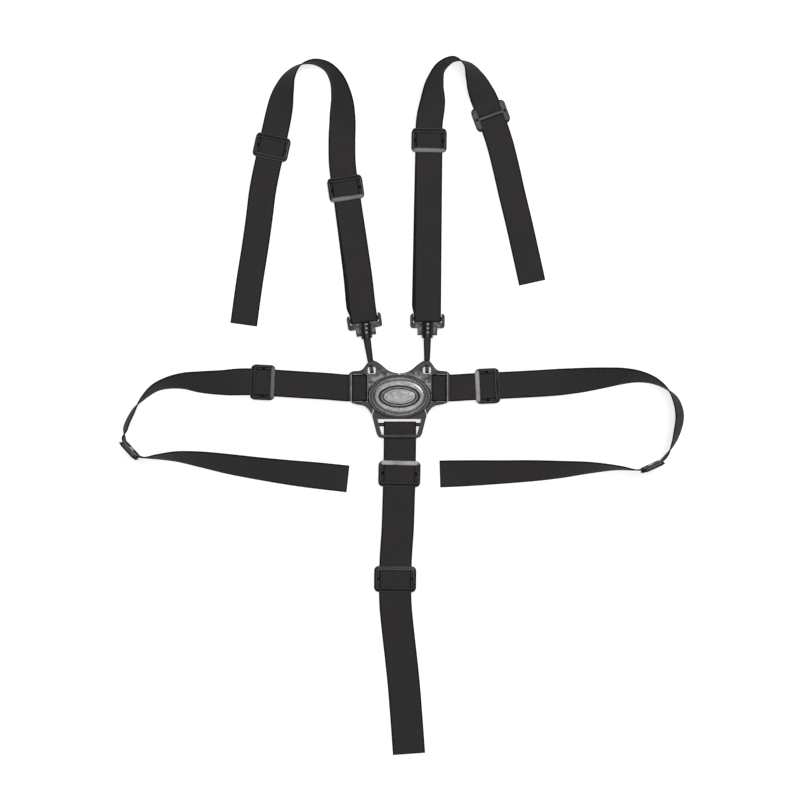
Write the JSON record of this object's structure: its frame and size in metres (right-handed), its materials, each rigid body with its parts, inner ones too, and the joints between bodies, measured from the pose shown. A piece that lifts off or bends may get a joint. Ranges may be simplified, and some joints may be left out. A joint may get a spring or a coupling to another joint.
{
  "type": "five-point child harness",
  "caption": "Five-point child harness laid flat: push-button buckle with plug-in side wings, hooked shoulder straps, waist straps and a crotch strap, each with tri-glide sliders.",
  "frame": {"origin": "centre of the buckle's back face, on the surface the harness lies on", "axes": "+Y runs from the buckle towards the shoulder straps, +Z out of the buckle's front, +X to the wearer's left"},
  "size_m": [0.5217, 0.6447, 0.0331],
  "materials": {
    "graphite": "graphite grey moulded plastic, semi-gloss",
    "silver_button": "silver lacquered plastic, satin",
    "black_plastic": "black moulded nylon",
    "slider_plastic": "black moulded plastic, glossy bars",
    "webbing": "black ribbed webbing",
    "spring_steel": "spring steel wire"
  },
  "bodies": {
    "buckle": {"back_cover": "black_plastic", "front_shell": "graphite", "button_spring": "spring_steel", "crotch_strap": "webbing", "crotch_strap_return": "webbing"},
    "release_button": {"release_button": "silver_button", "button_badge": "silver_button"},
    "left_wing": {"left_wing": "graphite", "left_waist_strap": "webbing", "left_waist_strap_return": "webbing"},
    "left_hook": {"left_shoulder_hook": "black_plastic"},
    "left_loop": {"left_swivel_loop": "black_plastic"},
    "left_shoulder_strap": {"left_shoulder_strap": "webbing", "left_shoulder_strap_return": "webbing"},
    "right_wing": {"right_wing": "graphite", "right_waist_strap": "webbing", "right_waist_strap_return": "webbing"},
    "right_hook": {"right_shoulder_hook": "black_plastic"},
    "right_loop": {"right_swivel_loop": "black_plastic"},
    "right_shoulder_strap": {"right_shoulder_strap": "webbing", "right_shoulder_strap_return": "webbing"},
    "left_shoulder_adjuster": {"left_shoulder_adjuster": "slider_plastic", "left_shoulder_strap_end": "webbing"},
    "left_shoulder_end_slider": {"left_shoulder_end_slider": "slider_plastic"},
    "right_shoulder_adjuster": {"right_shoulder_adjuster": "slider_plastic", "right_shoulder_strap_end": "webbing"},
    "right_shoulder_end_slider": {"right_shoulder_end_slider": "slider_plastic"},
    "left_waist_adjuster": {"left_waist_adjuster": "slider_plastic", "left_waist_strap_end": "webbing"},
    "left_waist_end_slider": {"left_waist_end_slider": "slider_plastic"},
    "right_waist_adjuster": {"right_waist_adjuster": "slider_plastic", "right_waist_strap_end": "webbing"},
    "right_waist_end_slider": {"right_waist_end_slider": "slider_plastic"},
    "crotch_adjuster": {"crotch_adjuster": "slider_plastic", "crotch_strap_end": "webbing"},
    "crotch_end_slider": {"crotch_end_slider": "slider_plastic"}
  },
  "joints": [
    {"name": "button_press", "type": "slide", "parent": "buckle", "child": "release_button", "axis": [0, 0, -1], "range_m": [0, 0.0025], "stiffness_N_per_m": 3000, "springref_m": -0.001, "deforming": ["button_spring"]},
    {"name": "left_wing_release", "type": "slide", "parent": "buckle", "child": "left_wing", "axis": [-1, 0, 0], "range_m": [0, 0.02]},
    {"name": "left_hook_swing", "type": "hinge", "parent": "left_wing", "child": "left_hook", "pos_m": [-0.0256, 0.0245, 0.0058], "axis": [0, 0, -1], "range_deg": [-10, 4]},
    {"name": "left_loop_swivel", "type": "hinge", "parent": "left_hook", "child": "left_loop", "pos_m": [-0.02995, 0.05358, 0.0058], "axis": [0.1478, -0.989, 0], "range_deg": [-90, 0]},
    {"name": "left_strap_lift", "type": "hinge", "parent": "left_loop", "child": "left_shoulder_strap", "pos_m": [-0.03262, 0.07148, 0.0039], "axis": [0.989, 0.1478, 0], "range_deg": [0, 60]},
    {"name": "right_wing_release", "type": "slide", "parent": "buckle", "child": "right_wing", "axis": [1, 0, 0], "range_m": [0, 0.02]},
    {"name": "right_hook_swing", "type": "hinge", "parent": "right_wing", "child": "right_hook", "pos_m": [0.0256, 0.0245, 0.0058], "axis": [0, 0, 1], "range_deg": [-10, 4]},
    {"name": "right_loop_swivel", "type": "hinge", "parent": "right_hook", "child": "right_loop", "pos_m": [0.02586, 0.0539, 0.0058], "axis": [0.0087, 1, 0], "range_deg": [-90, 0]},
    {"name": "right_strap_lift", "type": "hinge", "parent": "right_loop", "child": "right_shoulder_strap", "pos_m": [0.02601, 0.072, 0.0039], "axis": [1, -0.0087, 0], "range_deg": [0, 60]},
    {"name": "left_shoulder_adjuster_slide", "type": "slide", "parent": "left_shoulder_strap", "child": "left_shoulder_adjuster", "axis": [-0.1456, 0.9893, 0], "range_m": [-0.06, 0.006], "deforming": ["left_shoulder_strap_return"]},
    {"name": "left_shoulder_end_slider_slide", "type": "slide", "parent": "left_shoulder_strap", "child": "left_shoulder_end_slider", "axis": [-0.2141, -0.9768, 0], "range_m": [-0.006, 0.012]},
    {"name": "right_shoulder_adjuster_slide", "type": "slide", "parent": "right_shoulder_strap", "child": "right_shoulder_adjuster", "axis": [0.0144, 0.9999, 0], "range_m": [-0.08, 0.004], "deforming": ["right_shoulder_strap_return"]},
    {"name": "right_shoulder_end_slider_slide", "type": "slide", "parent": "right_shoulder_strap", "child": "right_shoulder_end_slider", "axis": [0.3366, -0.9416, 0], "range_m": [-0.003, 0.012]},
    {"name": "left_waist_adjuster_slide", "type": "slide", "parent": "left_wing", "child": "left_waist_adjuster", "axis": [-0.9989, 0.0459, 0], "range_m": [-0.027, 0.004], "deforming": ["left_waist_strap_return"]},
    {"name": "left_waist_end_slider_slide", "type": "slide", "parent": "left_wing", "child": "left_waist_end_slider", "axis": [0.6725, -0.7401, 0], "range_m": [-0.0015, 0.0015]},
    {"name": "right_waist_adjuster_slide", "type": "slide", "parent": "right_wing", "child": "right_waist_adjuster", "axis": [0.9989, 0.047, 0], "range_m": [-0.012, 0.03], "deforming": ["right_waist_strap_return"]},
    {"name": "right_waist_end_slider_slide", "type": "slide", "parent": "right_wing", "child": "right_waist_end_slider", "axis": [-0.9112, -0.4119, 0], "range_m": [-0.002, 0.002]},
    {"name": "crotch_adjuster_slide", "type": "slide", "parent": "buckle", "child": "crotch_adjuster", "axis": [-0.0232, -0.9997, 0], "range_m": [-0.012, 0.03], "deforming": ["crotch_strap_return"]},
    {"name": "crotch_end_slider_slide", "type": "slide", "parent": "buckle", "child": "crotch_end_slider", "axis": [-0.0114, -0.9999, 0], "range_m": [-0.008, 0.008]}
  ]
}
